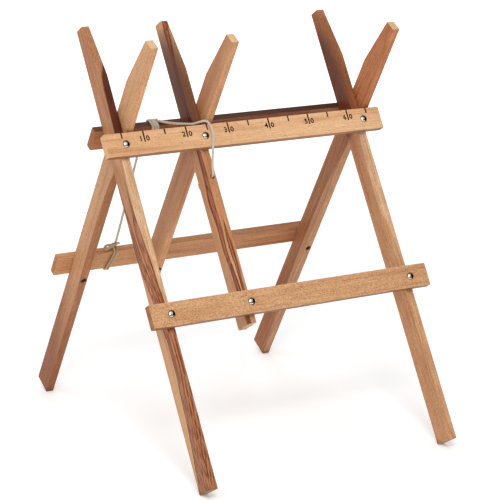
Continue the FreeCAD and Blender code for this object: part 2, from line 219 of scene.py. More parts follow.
def new_material(name):
    material = bpy.data.materials.new(name)
    material.use_nodes = True
    material.node_tree.nodes.clear()
    graph = Graph(material.node_tree)
    shader = graph.add("ShaderNodeBsdfPrincipled")
    output = graph.add("ShaderNodeOutputMaterial")
    graph.tree.links.new(shader.outputs[0], output.inputs["Surface"])
    return material, graph, shader


def rgb(red, green, blue):
    """A colour given as on a screen, 0 to 255."""
    def linear(value):
        value /= 255
        return value / 12.92 if value <= 0.04045 else ((value + 0.055) / 1.055) ** 2.4
    return (linear(red), linear(green), linear(blue), 1.0)


# Colours of the wood, from pale to dark. Among them are a painted light and a painted shadow.
# Painted light: the legs' narrow faces that face the front are made paler, as the lamps light them more than the
# wide faces.
PAINTED_LIGHT_PALE = rgb(232, 200, 162)
TAN = rgb(213, 168, 125)
HONEY = rgb(211, 166, 123)
ORANGE = rgb(200, 136, 92)
PINK = rgb(202, 152, 112)
CORE = rgb(206, 134, 88)
SAND = rgb(196, 138, 100)
ROSE = rgb(184, 130, 90)
BROWN = rgb(160, 102, 66)
UMBER = rgb(132, 76, 50)
DEEP_CORE = rgb(122, 66, 40)
# Painted shadow: the shade cast on the front legs by the log that rests on the upper rails, which is not modelled.
PAINTED_LOG_SHADOW = rgb(80, 28, 10)
EARLY_WOOD = rgb(240, 200, 152)
PORE = rgb(120, 74, 46)
HEART_LINE = rgb(88, 38, 18)
HEART_RIM = rgb(84, 42, 24)
# Bark dirt and the painted shadow of the log, on the upper rear rail's top face.
BARK_DIRT_AND_LOG_SHADOW = (rgb(58, 34, 24), rgb(84, 52, 36))
# Rubbed wear and painted highlight on the arrises.
WEAR_AND_HIGHLIGHT = rgb(236, 202, 160)
DIRT = rgb(92, 64, 46)
# Painted shade in the nut pockets and the cord hole.
HOLE_SHADE = rgb(52, 30, 20)

# Tints, which multiply a colour.
LATE_TINT = rgb(200, 158, 130)
FLECK_TINT = (1.32, 1.28, 1.26, 1)
# Rubbed wear and painted highlight on the legs' arrises.
WEAR_AND_HIGHLIGHT_TINT = (1.3, 1.27, 1.24, 1)
DEEP_TINT = rgb(206, 172, 150)
# Painted shade on the rails' faces that face down.
UNDERSIDE_SHADE_TINT = rgb(176, 158, 146)
END_TINTS = {"front": rgb(196, 186, 182), "rear": rgb(234, 230, 226)}


# --- beech ------------------------------------------------------------------------------------

# Patterns in the wood: scales (across the wide face, through the lath, along the grain), detail,
# and roughness where it isn't the usual one.
BEND = ((9, 9, 1.3), 2.0)              # slow bends of the growth rings
RIPPLE = ((160, 160, 5), 2.0)          # small waves in them
FIBRE = ((700, 700, 16), 4.0, 0.6)
BAND = ((70, 70, 2.2), 3.0)
CLOUD = ((16, 16, 3.5), 3.0)
DASHES = ((520, 520, 85), 1.0)
MOTTLE = ((720, 720, 270), 2.0)
STREAKS = ((330, 330, 3.0), 3.0)       # how heartwood's edges and lines wander
PATCHES = ((60, 60, 24), 3.0)          # where the arrises are rubbed and the feet dirty

RINGS_PER_METRE = 340.0
HEART_LINES_PER_METRE = 160.0
POCKET_RADIUS = 0.0067
CORD_HOLE_RADIUS = 0.0050
HEART_EDGE = 0.0010          # over this distance heartwood's edge fades


def wood_space(graph, side, is_rail):
    """Places as (across the wide face, through the lath, along the grain), and how far a face is
    end grain, how far it faces down and how far up."""
    where = graph.add("ShaderNodeTexCoord")
    turn = {"Rotation": (-OUTWARD[side] * LEAN, 0, 0)}
    parts = []
    for socket in ("Object", "Normal"):
        kind = "POINT" if socket == "Object" else "NORMAL"
        shifted = where.outputs[socket]
        if socket == "Object":
            shifted = graph.add("ShaderNodeVectorMath", {0: shifted, 1: -PIVOT},
                                operation="ADD").outputs[0]
        level = graph.add("ShaderNodeMapping", {"Vector": shifted, **turn}, vector_type=kind)
        parts.append(graph.add("ShaderNodeSeparateXYZ", {0: level.outputs[0]}).outputs)
    place_at, facing = parts
    order = (2, 1, 0) if is_rail else (1, 0, 2)
    across, through, grain = (place_at[i] for i in order)
    vector = graph.add("ShaderNodeCombineXYZ", {0: across, 1: through, 2: grain}).outputs[0]
    end = graph.step(graph.math("ABSOLUTE", facing[order[2]]), 0.6, 0.85)
    under = graph.step(facing[2], -0.6, -0.9)
    over = graph.step(facing[2], 0.3, 0.9)
    return vector, (across, through, grain), end, under, over


def late_rings(graph, moved, across, through, pith):
    """How far a place is in the dark late wood of the growth rings, which bend slowly."""
    drift = graph.pattern(moved, *BEND)
    bend = graph.times(graph.minus(drift, 0.5), 0.034)
    squares = []
    for value, centre in ((across, pith[0]), (through, pith[1])):
        gap = graph.minus(graph.plus(value, bend), centre)
        squares.append(graph.times(gap, gap))
    radius = graph.math("SQRT", graph.plus(squares[0], squares[1]))
    ripple = graph.pattern(moved, *RIPPLE)
    count = graph.plus(graph.times(radius, RINGS_PER_METRE), graph.times(ripple, 1.6))
    ring_share = graph.math("FRACT", count)
    return graph.math("SUBTRACT", graph.step(ring_share, 0.35, 0.95),
                      graph.step(ring_share, 0.95, 1.0), clamp=True)


def sawn_end(graph, colour, node, side, late_wood):
    """End grain shows the rings as arcs. It is palest at the legs' top ends, where it is painted light for the
    light from above.
    """
    if node == "rail_front_upper":
        sawn = graph.mix(0.5, colour, rgb(232, 196, 154))
    elif node.startswith("rail"):
        sawn = graph.tint(colour, END_TINTS[side])
    else:
        # painted light: the legs' end grain mixed toward cream
        sawn = graph.mix(0.6, colour, rgb(250, 216, 170))
    return graph.mix(graph.times(late_wood, 0.45), sawn, rgb(170, 120, 80))


def beech(node, seed, tone, blush, figure, pith, bands):
    """Planed beech: growth rings round a far pith, short dark flecks, and a satin varnish.

    figure is how strongly the rings and the flecks show."""
    kind, side, where = node.split("_")
    is_rail = kind == "rail"
    material, graph, shader = new_material("beech_" + node)
    vector, (across, through, grain), end, under, over = wood_space(graph, side, is_rail)
    rng = random.Random(seed)
    shift = tuple(rng.uniform(-20, 20) for _ in range(3))
    moved = graph.stretched(vector, (1, 1, 1), shift)
    rings, flecks = figure

    late_wood = late_rings(graph, moved, across, through, pith)
    fibre = graph.pattern(moved, *FIBRE)
    band = graph.pattern(moved, *BAND)
    cloud = graph.pattern(moved, *CLOUD)
    dashes = graph.pattern(moved, *DASHES)
    pore = graph.step(dashes, 0.66, 0.74)
    mottle = graph.pattern(moved, *MOTTLE)

    colour = graph.mix(graph.step(cloud, 0.32, 0.68), tone, blush)
    if node in DRIFTS:
        start, finish, most, shade = DRIFTS[node]
        colour = graph.mix(graph.step(grain, start, finish, 0.0, most), colour, shade)
    light = graph.mix(0.5, colour, EARLY_WOOD)
    dark = graph.tint(colour, LATE_TINT)
    colour = graph.mix(graph.step(band, 0.45, 0.75, 0.0, 0.5), colour, light)
    colour = graph.mix(graph.step(band, 0.5, 0.25, 0.0, 0.55), colour, dark)
    colour = graph.mix(graph.times(late_wood, rings), colour, dark)
    colour = graph.mix(graph.step(fibre, 0.35, 0.7, 0.0, 0.3), colour, dark)

    left_x = middle_x(node) - LATH_THICK / 2
    spread = graph.plus(graph.minus(HALF_WIDTH, across), graph.minus(through, left_x))
    for band_facts in bands:
        colour = add_band(graph, colour, spread, grain, moved, fibre, *band_facts)

    dark = graph.tint(colour, LATE_TINT)
    light = graph.tint(colour, FLECK_TINT)
    colour = graph.mix(graph.step(mottle, 0.52, 0.66, 0.0, 0.75 * flecks), colour, dark)
    colour = graph.mix(graph.step(mottle, 0.48, 0.34, 0.0, 0.85 * flecks), colour, light)
    colour = graph.mix(graph.times(pore, 0.35 + 0.3 * flecks), colour, PORE)

    colour = graph.mix(end, colour, sawn_end(graph, colour, node, side, late_wood))
    if is_rail:
        # painted shade: the rails' down-facing faces darker
        colour = graph.mix(under, colour, graph.tint(colour, UNDERSIDE_SHADE_TINT))
    # Upper rear rail: bark dirt and the painted shadow of the log that rests on it darken its top face.
    if node == "rail_rear_upper":
        dirt_and_shadow = graph.mix(graph.step(band, 0.35, 0.65), *BARK_DIRT_AND_LOG_SHADOW)
        colour = graph.mix(graph.times(over, 0.85), colour, dirt_and_shadow)
    if not is_rail:
        # painted shade in the nut pockets and the cord hole
        colour = paint_hole_shade(graph, colour, node, through, grain)
    level = where if is_rail else None
    colour = add_wear(graph, colour, vector, (across, through), end, side, level, rng)

    gloss = graph.plus(graph.times(fibre, 0.16), 0.40)
    gloss = graph.plus(gloss, graph.times(end, 0.25))
    ridges = graph.times(fibre, 0.5)
    grooves = graph.plus(pore, graph.times(late_wood, 0.25))
    relief = graph.minus(ridges, grooves)
    graph.put(shader.inputs["Base Color"], colour)
    graph.put(shader.inputs["Roughness"], gloss)
    graph.put(shader.inputs["Normal"], graph.bump(relief, 0.35, 0.00025))
    shader.inputs["Specular IOR Level"].default_value = 0.15
    shader.inputs["Coat Weight"].default_value = 0.03
    shader.inputs["Coat Roughness"].default_value = 0.35
    NODES[node].data.materials.clear()
    NODES[node].data.materials.append(material)


GRAIN_LOW, GRAIN_HIGH = -0.78, 0.26      # of the legs, along their grain
SPREAD_LOW, SPREAD_HIGH = -0.08, 0.12


def along_curve(graph, grain, stations, column):
    """A place across the lath that changes smoothly along its grain."""
    share = graph.add("ShaderNodeMapRange", {"Value": grain, "From Min": GRAIN_LOW,
                                             "From Max": GRAIN_HIGH}).outputs["Result"]
    made = graph.add("ShaderNodeFloatCurve", {"Value": share})
    spots = [
        ((station[0] - GRAIN_LOW) / (GRAIN_HIGH - GRAIN_LOW),
         (station[column] - SPREAD_LOW) / (SPREAD_HIGH - SPREAD_LOW))
        for station in sorted(stations)
    ]
    curve = made.mapping.curves[0]
    curve.points[0].location = spots[0]
    curve.points[1].location = spots[-1]
    for spot in spots[1:-1]:
        curve.points.new(*spot)
    made.mapping.update()
    return graph.math("MULTIPLY_ADD", made.outputs[0], SPREAD_HIGH - SPREAD_LOW, SPREAD_LOW)


def add_band(graph, colour, spread, grain, moved, fibre, shade, strength, soft, stations):
    """A band of darker or paler colour between two edges that fade over the distance soft. Some soft bands are
    painted shadow, and the pale bands on the narrow faces are painted light.

    Each station is a place along the leg and the band's two edges there, counted round the two
    faces from one arris. A band with soft = 0 is heartwood: a sharp edge and thin dark lines."""
    lines = graph.pattern(moved, *STREAKS)
    wander = graph.times(graph.minus(lines, 0.5), 0.006)
    at = graph.plus(spread, wander)
    from_low = graph.minus(at, along_curve(graph, grain, stations, 1))
    from_high = graph.minus(along_curve(graph, grain, stations, 2), at)
    fade = soft or HEART_EDGE
    inside = graph.times(graph.step(from_low, -0.6 * fade, fade),
                         graph.step(from_high, -0.6 * fade, fade))
    inside = graph.times(inside, strength)
    deep = graph.tint(shade, DEEP_TINT)
    body = graph.mix(graph.step(fibre, 0.32, 0.68), shade, deep)
    if soft:
        return graph.mix(inside, colour, body)
    layers = graph.plus(graph.times(from_low, HEART_LINES_PER_METRE), graph.times(lines, 1.3))
    layer = graph.math("FRACT", layers)
    line = graph.minus(graph.step(layer, 0.46, 0.66), graph.step(layer, 0.90, 1.0))
    body = graph.mix(graph.times(line, 0.85), body, HEART_LINE)
    colour = graph.mix(inside, colour, body)
    near = graph.math("MINIMUM", from_low, from_high)
    rim = graph.times(graph.step(near, -0.0005, 0.0004), graph.step(near, 0.0046, 0.0022))
    return graph.mix(graph.times(rim, 0.65 * strength), colour, HEART_RIM)


def paint_hole_shade(graph, colour, node, through, grain):
    """Painted shade in the nut pockets, and in and round the hole that the cord comes out of."""
    holes = [(UPPER_DROP, POCKET_RADIUS), (LOWER_DROP, POCKET_RADIUS)]
    if node == "leg_front_middle":
        holes.append((CORD_HOLE_DROP, CORD_HOLE_RADIUS))
    for drop, radius in holes:
        squares = [
            graph.math("POWER", graph.minus(value, centre), 2.0)
            for value, centre in ((through, middle_x(node)), (grain, drop))
        ]
        distance = graph.math("SQRT", graph.plus(squares[0], squares[1]))
        inside = graph.step(distance, radius + 0.0006, radius - 0.0008, 0.0, 0.88)
        colour = graph.mix(inside, colour, HOLE_SHADE)
    return colour


def add_wear(graph, colour, vector, cross, end, side, level, rng):
    """Arrises a little paler, partly rubbed wear and partly painted highlight, and brown dirt on the last
    centimetre of the feet.
    """
    patches = graph.pattern(vector, *PATCHES, shift=(rng.uniform(0, 9),) * 3)
    if level:
        drop = UPPER_DROP if level == "upper" else LOWER_DROP
        gaps = []
        for value, centre, half in zip(cross, (drop, OUTWARD[side] * RAIL_MIDDLE),
                                       (HALF_WIDTH, LATH_THICK / 2)):
            off = graph.math("ABSOLUTE", graph.minus(value, centre))
            gaps.append(graph.step(off, half - 0.0026, half - 0.0002))
        arris = graph.times(gaps[0], gaps[1])
        # the rear rails get less of the painted highlight
        most = 0.5 if side == "front" else 0.15
        share = graph.times(arris, graph.step(patches, 0.35, 0.65, most / 5, most))
        return graph.mix(share, colour, WEAR_AND_HIGHLIGHT)
    off = graph.math("ABSOLUTE", cross[0])
    # the legs' arrises: rubbed wear and painted highlight
    wear_and_highlight = graph.step(off, HALF_WIDTH - 0.0016, HALF_WIDTH - 0.0002)
    share = graph.times(wear_and_highlight, graph.step(patches, 0.45, 0.7, 0.0, 0.6))
    colour = graph.mix(share, colour, graph.tint(colour, WEAR_AND_HIGHLIGHT_TINT))
    height = graph.add("ShaderNodeSeparateXYZ",
                       {0: graph.add("ShaderNodeTexCoord").outputs["Object"]}).outputs[2]
    uneven = graph.plus(height, graph.times(patches, 0.012))
    low = graph.step(uneven, 0.022, 0.006, 0.0, 0.55)
    sole = graph.times(end, graph.step(height, 0.30, 0.26))
    dirty = graph.math("MAXIMUM", low, graph.times(sole, 0.6))
    return graph.mix(dirty, colour, DIRT)


# Bands: colour (mostly the wood's own; some bands are painted light and some painted shadow),
# strength, softness, and stations of (along, edge, edge). Edges below -0.01 and above 0.075 lie
# beyond the two faces, so that such a band covers one side of them.
LEFT_BANDS = [
    # painted shadow of the log: the leg darker above the upper rail
    (ROSE, 0.80, 0.070, [(0.260, -0.080, 0.000), (0.120, -0.080, 0.120), (-0.020, -0.080, 0.120),
                         (-0.045, -0.080, 0.050), (-0.080, -0.080, -0.060)]),
    # painted shadow of the log on the narrow outer face above the upper rail
    (PAINTED_LOG_SHADOW, 0.92, 0.004, [(0.200, 0.090, 0.085), (0.110, 0.052, 0.085), (0.030, 0.0470, 0.085),
                        (-0.030, 0.0485, 0.085), (-0.070, 0.070, 0.066)]),
    (ROSE, 0.7, 0.030, [(-0.070, -0.080, 0.030), (-0.160, -0.080, 0.060),
                        (-0.300, -0.080, -0.050)]),
    # painted light on the narrow face
    (PAINTED_LIGHT_PALE, 0.9, 0.002, [(-0.050, 0.074, 0.085), (-0.062, 0.050, 0.085), (-0.330, 0.052, 0.085),
                        (-0.400, 0.074, 0.085)]),
    (CORE, 1.0, 0, [(-0.040, -0.006, -0.008), (-0.120, -0.003, 0.003), (-0.171, -0.003, 0.0095),
                    (-0.213, 0.001, 0.015), (-0.266, 0.002, 0.022), (-0.349, 0.017, 0.045),
                    (-0.400, 0.029, 0.064), (-0.452, 0.0355, 0.085), (-0.500, 0.085, 0.082)]),
    (SAND, 0.95, 0, [(-0.380, 0.036, 0.033), (-0.400, 0.029, 0.064), (-0.452, 0.0355, 0.085),
                     (-0.603, 0.028, 0.085), (-0.700, 0.014, 0.085), (-0.765, 0.003, 0.085)]),
    (CORE, 0.9, 0, [(-0.090, 0.041, 0.039), (-0.171, 0.031, 0.040), (-0.213, 0.025, 0.046),
                    (-0.266, 0.029, 0.053), (-0.349, 0.044, 0.058), (-0.450, 0.066, 0.062)]),
    (DEEP_CORE, 0.8, 0.0015, [(-0.560, 0.051, 0.049), (-0.670, 0.052, 0.0545),
                              (-0.735, 0.054, 0.056), (-0.758, 0.056, 0.053)]),
]
MIDDLE_BANDS = [
    (CORE, 1.0, 0, [(0.245, 0.032, 0.044), (0.080, 0.030, 0.044), (0.000, 0.031, 0.042),
                    (-0.117, 0.028, 0.046), (-0.173, 0.021, 0.044), (-0.230, 0.027, 0.047),
                    (-0.284, 0.027, 0.042), (-0.321, 0.035, 0.048), (-0.367, 0.036, 0.052),
                    (-0.440, 0.041, 0.056)]),
    (DEEP_CORE, 0.7, 0.0012, [
        (0.050, 0.033, 0.031), (-0.020, 0.032, 0.036), (-0.117, 0.029, 0.034),
        (-0.173, 0.023, 0.029), (-0.230, 0.028, 0.032), (-0.284, 0.028, 0.031),
        (-0.367, 0.037, 0.042), (-0.400, 0.040, 0.054), (-0.440, 0.042, 0.055),
    ]),
    (ORANGE, 0.6, 0.006, [(-0.040, 0.060, 0.085), (-0.100, 0.046, 0.085), (-0.260, 0.046, 0.085),
                          (-0.360, 0.074, 0.085)]),
    (CORE, 0.9, 0, [(-0.200, 0.058, 0.055), (-0.284, 0.052, 0.061), (-0.321, 0.054, 0.062),
                    (-0.367, 0.056, 0.060), (-0.420, 0.060, 0.057)]),
    # painted shadow of the log over the leg above the upper rail
    (PAINTED_LOG_SHADOW, 0.86, 0.100, [(0.230, -0.080, -0.070), (0.090, -0.080, 0.120), (-0.020, -0.080, 0.120),
                         (-0.045, -0.080, 0.040), (-0.080, -0.080, -0.060)]),
]
RIGHT_BANDS = [
    # painted shadow of the log: the leg darker above the upper rail
    (BROWN, 0.90, 0.070, [(0.260, -0.080, -0.060), (0.130, -0.080, 0.120), (-0.020, -0.080, 0.120),
                          (-0.045, -0.080, 0.050), (-0.080, -0.080, -0.060)]),
    # painted shadow of the log on the wide face above the upper rail
    (PAINTED_LOG_SHADOW, 0.7, 0.030, [(0.230, -0.080, -0.070), (0.090, -0.080, 0.056), (-0.020, -0.060, 0.054),
                        (-0.040, -0.060, 0.040), (-0.070, -0.060, -0.030)]),
    # painted light on the narrow face
    (PAINTED_LIGHT_PALE, 0.85, 0.002, [(-0.040, 0.076, 0.085), (-0.060, 0.050, 0.085), (-0.500, 0.050, 0.085),
                         (-0.765, 0.056, 0.085)]),
    (TAN, 0.7, 0.040, [(-0.200, -0.080, -0.050), (-0.420, -0.080, 0.100),
                       (-0.765, -0.080, 0.120)]),
]
REAR_LEFT_BANDS = [
    (BROWN, 0.75, 0.002, [(-0.030, 0.074, 0.085), (-0.100, 0.050, 0.085), (-0.500, 0.049, 0.085),
                          (-0.765, 0.046, 0.085)]),
    (BROWN, 0.9, 0.060, [(-0.200, -0.080, -0.060), (-0.440, -0.080, 0.020),
                         (-0.765, -0.080, 0.120)]),
]
REAR_RIGHT_BANDS = [
    (ORANGE, 0.9, 0.060, [(0.250, -0.080, 0.120), (-0.020, -0.080, 0.120), (-0.045, -0.080, 0.050),
                          (-0.080, -0.080, -0.060)]),
    # painted light on the narrow face
    (PAINTED_LIGHT_PALE, 0.35, 0.003, [(-0.050, 0.076, 0.085), (-0.090, 0.050, 0.085), (-0.765, 0.050, 0.085)]),
]

# Of each lath: seed, main colour, second colour, strength of the rings and flecks, place of the
# pith across and through it, and its bands.
LATHS = {
    "rail_front_upper": (11, rgb(236, 194, 150), rgb(224, 178, 132), (0.15, 0.35),
                         (0.02, 0.09), []),
    "rail_front_lower": (12, HONEY, TAN, (0.25, 1.0), (-0.40, 0.11), []),
    # The upper rear rail's brown is painted shadow of the log that rests on it.
    "rail_rear_upper": (13, BROWN, UMBER, (0.4, 0.5), (-0.01, -0.10), []),
    "rail_rear_lower": (14, rgb(204, 154, 110), PINK, (0.25, 0.5), (-0.36, -0.08), []),
    "leg_front_left": (21, PINK, TAN, (0.3, 0.4), (-0.09, -0.24), LEFT_BANDS),
    "leg_front_middle": (22, rgb(214, 164, 120), PINK, (0.3, 0.4), (-0.08, -0.05), MIDDLE_BANDS),
    "leg_front_right": (23, ROSE, PINK, (0.35, 0.6), (0.07, 0.33), RIGHT_BANDS),
    "leg_rear_left": (24, PINK, TAN, (0.3, 0.6), (0.10, -0.35), REAR_LEFT_BANDS),
    "leg_rear_middle": (25, PINK, ROSE, (0.35, 0.4), (-0.12, -0.02), []),
    # The rear right leg's brown is partly its wood and partly painted shade.
    "leg_rear_right": (26, BROWN, rgb(172, 116, 78), (0.4, 0.6), (0.08, 0.24), REAR_RIGHT_BANDS),
}

# Laths whose colour changes along them: from where to where, how far, and into which colour.
DRIFTS = {
    "rail_rear_lower": (-0.10, 0.25, 0.65, BROWN),
    # The upper rear rail turns paler at its left end, beyond the painted shadow of the log.
    "rail_rear_upper": (-0.26, -0.32, 0.7, ROSE),
}


def dress_laths():
    for node, facts in LATHS.items():
        beech(node, *facts)


# --- metal, cord and ink ----------------------------------------------------------------------


def metal(name, colour, rough, scratch_scale, bump=0.02):
    """Metal with fine handling marks in its gloss, and a painted dark reflection where it turns away."""
    material, graph, shader = new_material(name)
    where = graph.add("ShaderNodeTexCoord").outputs["Object"]
    scales = (scratch_scale, scratch_scale, scratch_scale * 5)
    marks = graph.pattern(where, scales, 4.0)
    haze = graph.noise(where, 260.0, 3.0)
    dull = tuple(value * 0.78 for value in colour[:3]) + (1,)
    shade = graph.mix(graph.step(haze, 0.35, 0.7), colour, dull)
    away = graph.add("ShaderNodeLayerWeight", {"Blend": 0.5}).outputs["Facing"]
    # painted reflection: dark where the surface turns away from the view
    shade = graph.mix(graph.step(away, 0.09, 0.28, 0.0, 0.97), shade, rgb(34, 28, 26))
    graph.put(shader.inputs["Base Color"], shade)
    gloss = graph.plus(graph.times(marks, rough), rough * 0.5)
    graph.put(shader.inputs["Roughness"], gloss)
    graph.put(shader.inputs["Normal"], graph.bump(marks, bump, 0.0001))
    shader.inputs["Metallic"].default_value = 1.0
    return material


def cord_fibre(name, dark, light):
    """Twisted yarn, with a few darker fibres and dust in its grooves."""
    material, graph, shader = new_material(name)
    where = graph.add("ShaderNodeTexCoord").outputs["Object"]
    hairs = graph.noise(where, 2600.0, 3.0, 0.7)
    patches = graph.noise(where, 60.0, 3.0)
    colour = graph.mix(graph.step(hairs, 0.3, 0.72), dark, light)
    colour = graph.mix(graph.step(patches, 0.35, 0.75, 0.0, 0.5), colour, rgb(204, 184, 150))
    graph.put(shader.inputs["Base Color"], colour)
    graph.put(shader.inputs["Normal"], graph.bump(hairs, 0.5, 0.0004))
    shader.inputs["Roughness"].default_value = 0.85
    shader.inputs["Sheen Weight"].default_value = 0.25
    shader.inputs["Sheen Roughness"].default_value = 0.5
    return material


def printing_ink():
    """Dark red-brown ink, thin where the grain kept it out."""
    material, graph, shader = new_material("printing_ink")
    where = graph.add("ShaderNodeTexCoord").outputs["Object"]
    grain = graph.pattern(where, (60, 900, 900), 3.0)
    colour = graph.mix(graph.step(grain, 0.70, 0.86, 0.0, 0.7), rgb(52, 4, 14), rgb(92, 34, 30))
    graph.put(shader.inputs["Base Color"], colour)
    graph.put(shader.inputs["Normal"], graph.bump(grain, 0.3, 0.0001))
    shader.inputs["Roughness"].default_value = 0.7
    shader.inputs["Specular IOR Level"].default_value = 0.08
    return material


# --- mesh helpers -----------------------------------------------------------------------------


def mesh_object(name, points, faces, material, smooth=True):
    data = bpy.data.meshes.new(name)
    data.from_pydata([tuple(p) for p in points], [], faces)
    data.materials.append(material)
    fixed = bmesh.new()
    fixed.from_mesh(data)
    bmesh.ops.recalc_face_normals(fixed, faces=fixed.faces)
    fixed.to_mesh(data)
    fixed.free()
    if smooth:
        data.polygons.foreach_set("use_smooth", [True] * len(data.polygons))
    made = bpy.data.objects.new(name, data)
    bpy.context.scene.collection.objects.link(made)
    return made


def tube_rings(centres, sides_x, sides_y, radii, count):
    """Points and faces of a closed tube: one ring of count points at each centre."""
    points, faces = [], []
    for centre, across, up, radius in zip(centres, sides_x, sides_y, radii):
        for i in range(count):
            angle = 2 * math.pi * i / count
            points.append(centre + (across * math.cos(angle) + up * math.sin(angle)) * radius)
    for start in range(0, (len(centres) - 1) * count, count):
        for i in range(count):
            a, b = start + i, start + (i + 1) % count
            faces.append((a, b, b + count, a + count))
    faces.append(tuple(range(count)))
    faces.append(tuple(range(len(points) - count, len(points))))
    return points, faces


def joined(solids):
    """The points and faces of several solids in one list each."""
    points, faces = [], []
    for more_points, more_faces in solids:
        start = len(points)
        points += more_points
        faces += [tuple(v + start for v in face) for face in more_faces]
    return points, faces


def carried_frames(line):
    """A tangent and two side vectors at each point, carried along with no sudden turns."""
    tangents = []
    for i in range(len(line)):
        ahead = line[min(i + 1, len(line) - 1)]
        behind = line[max(i - 1, 0)]
        tangents.append((ahead - behind).normalized())
    side = tangents[0].orthogonal().normalized()
    frames = []
    for tangent in tangents:
        side = (side - tangent * side.dot(tangent)).normalized()
        frames.append((tangent, side, tangent.cross(side)))
    return frames


def even_points(line, step):
    """The same line with points an even distance apart."""
    lengths = [0.0]
    for a, b in zip(line, line[1:]):
        lengths.append(lengths[-1] + (b - a).length)
    count = max(2, round(lengths[-1] / step))
    points, k = [], 0
    for i in range(count + 1):
        target = lengths[-1] * i / count
        while k < len(lengths) - 2 and lengths[k + 1] < target:
            k += 1
        span = max(lengths[k + 1] - lengths[k], 1e-9)
        points.append(line[k].lerp(line[k + 1], min(1.0, (target - lengths[k]) / span)))
    return points


def smooth_line(name, route, resolution=12):
    """The points of a NURBS line of order 3 whose control points are the route."""
    data = bpy.data.curves.new(name + "_line", "CURVE")
    data.dimensions = "3D"
    data.resolution_u = resolution
    spline = data.splines.new("NURBS")
    spline.points.add(len(route) - 1)
    for point, at in zip(spline.points, route):
        point.co = (*at, 1.0)
    spline.order_u = 3
    spline.use_endpoint_u = True
    bare = bpy.data.objects.new(name + "_line", data)
    line = bpy.data.meshes.new_from_object(bare)
    points = [v.co.copy() for v in line.vertices]
    bpy.data.meshes.remove(line)
    bpy.data.objects.remove(bare)
    bpy.data.curves.remove(data)
    return points


STRANDS = 3
LAY_LENGTH = 0.017          # one full twist of the strands
STRAND_RADIUS = 0.255       # share of the cord's diameter
STRAND_OFFSET = 0.245


def twisted(name, line, material, step=0.0011, sides=9):
    """A laid cord of three strands that follows a line."""
    centres = even_points(line, step)
    frames = carried_frames(centres)
    radii = [CORD_DIAMETER * STRAND_RADIUS] * len(centres)
    strands = []
    for strand in range(STRANDS):
        middles, across, up = [], [], []
        for i, (centre, (tangent, side, other)) in enumerate(zip(centres, frames)):
            turn = 2 * math.pi * (i * step / LAY_LENGTH + strand / STRANDS)
            outward = side * math.cos(turn) + other * math.sin(turn)
            middles.append(centre + outward * CORD_DIAMETER * STRAND_OFFSET)
            across.append(outward)
            up.append(tangent.cross(outward))
        strands.append(tube_rings(middles, across, up, radii, sides))
    return mesh_object(name, *joined(strands), material), centres


# --- the cord ---------------------------------------------------------------------------------
#
# The route is the part's own: (x, along, out) on the front frame, (x, y, height above the pivot
# line) where it crosses over, then the turns round the upper rear rail and the rear frame.

HOLE_X = middle_x("leg_front_middle")
FRONT_ROUTE = [
    (HOLE_X, -0.1240, 0.0180),
    (HOLE_X, -0.1240, 0.0305),
    (HOLE_X + 0.0010, -0.1060, 0.0330),
    (HOLE_X + 0.0050, -0.0770, 0.0445),
    (HOLE_X + 0.0130, -0.0530, 0.0474),
    (HOLE_X + 0.0160, -0.0360, 0.0472),
    (HOLE_X + 0.0145, -0.0145, 0.0480),
    (HOLE_X + 0.0090, -0.0050, 0.0410),
    (HOLE_X - 0.0030, -0.0065, 0.0348),
    (HOLE_X - 0.0145, -0.0070, 0.0295),
]
CROSSING_ROUTE = [
    (-0.1365, -0.0170, 0.0084),
    (-0.1500, -0.0010, 0.0074),
    (-0.1630, 0.0145, 0.0080),
    (-0.1720, 0.0265, 0.0098),
]
REAR_ROUTE = [
    (-0.1950, -0.0675, 0.0460),
    (-0.1948, -0.1180, 0.0446),
    (-0.1936, -0.1800, 0.0402),
    (-0.1919, -0.2430, 0.0372),
    (-0.1896, -0.3030, 0.0358),
    (-0.1872, -0.3570, 0.0360),
]
TURNS = 3
TURNS_START_X = -0.1770
TURNS_PITCH = 0.0060

# One turn round the rail's section, (along, out) from its middle: over the top, down the outer
# face, under, and up the inner face.
TURN = [
    (0.0283, 0.0038), (0.0283, 0.0088), (0.0248, 0.0123), (0.0198, 0.0123),
    (-0.0198, 0.0123), (-0.0248, 0.0123), (-0.0283, 0.0088), (-0.0283, 0.0038),
    (-0.0283, -0.0038), (-0.0283, -0.0088), (-0.0248, -0.0123), (-0.0198, -0.0123),
    (0.0198, -0.0123), (0.0248, -0.0123), (0.0283, -0.0088), (0.0283, -0.0038),
]
LAST_TURN = 5                # points of the turn before the cord leaves for the lower rail


def turn_points():
    """The turns on the upper rear rail, which lie side by side a little unevenly."""
    rng = random.Random(5)
    points = []
    for number in range(TURNS * len(TURN) + LAST_TURN):
        along, out = TURN[number % len(TURN)]
        x = TURNS_START_X - TURNS_PITCH * number / len(TURN) + rng.uniform(-0.0004, 0.0004)
        points.append((x, UPPER_DROP + along, RAIL_MIDDLE + out))
    return points


def cord_route():
    route = [place("front", *p) for p in FRONT_ROUTE]
    route += [Vector((x, y, PIVOT.z + rise)) for x, y, rise in CROSSING_ROUTE]
    route += [place("rear", *p) for p in turn_points()]
    route += [place("rear", *p) for p in REAR_ROUTE]
    return route


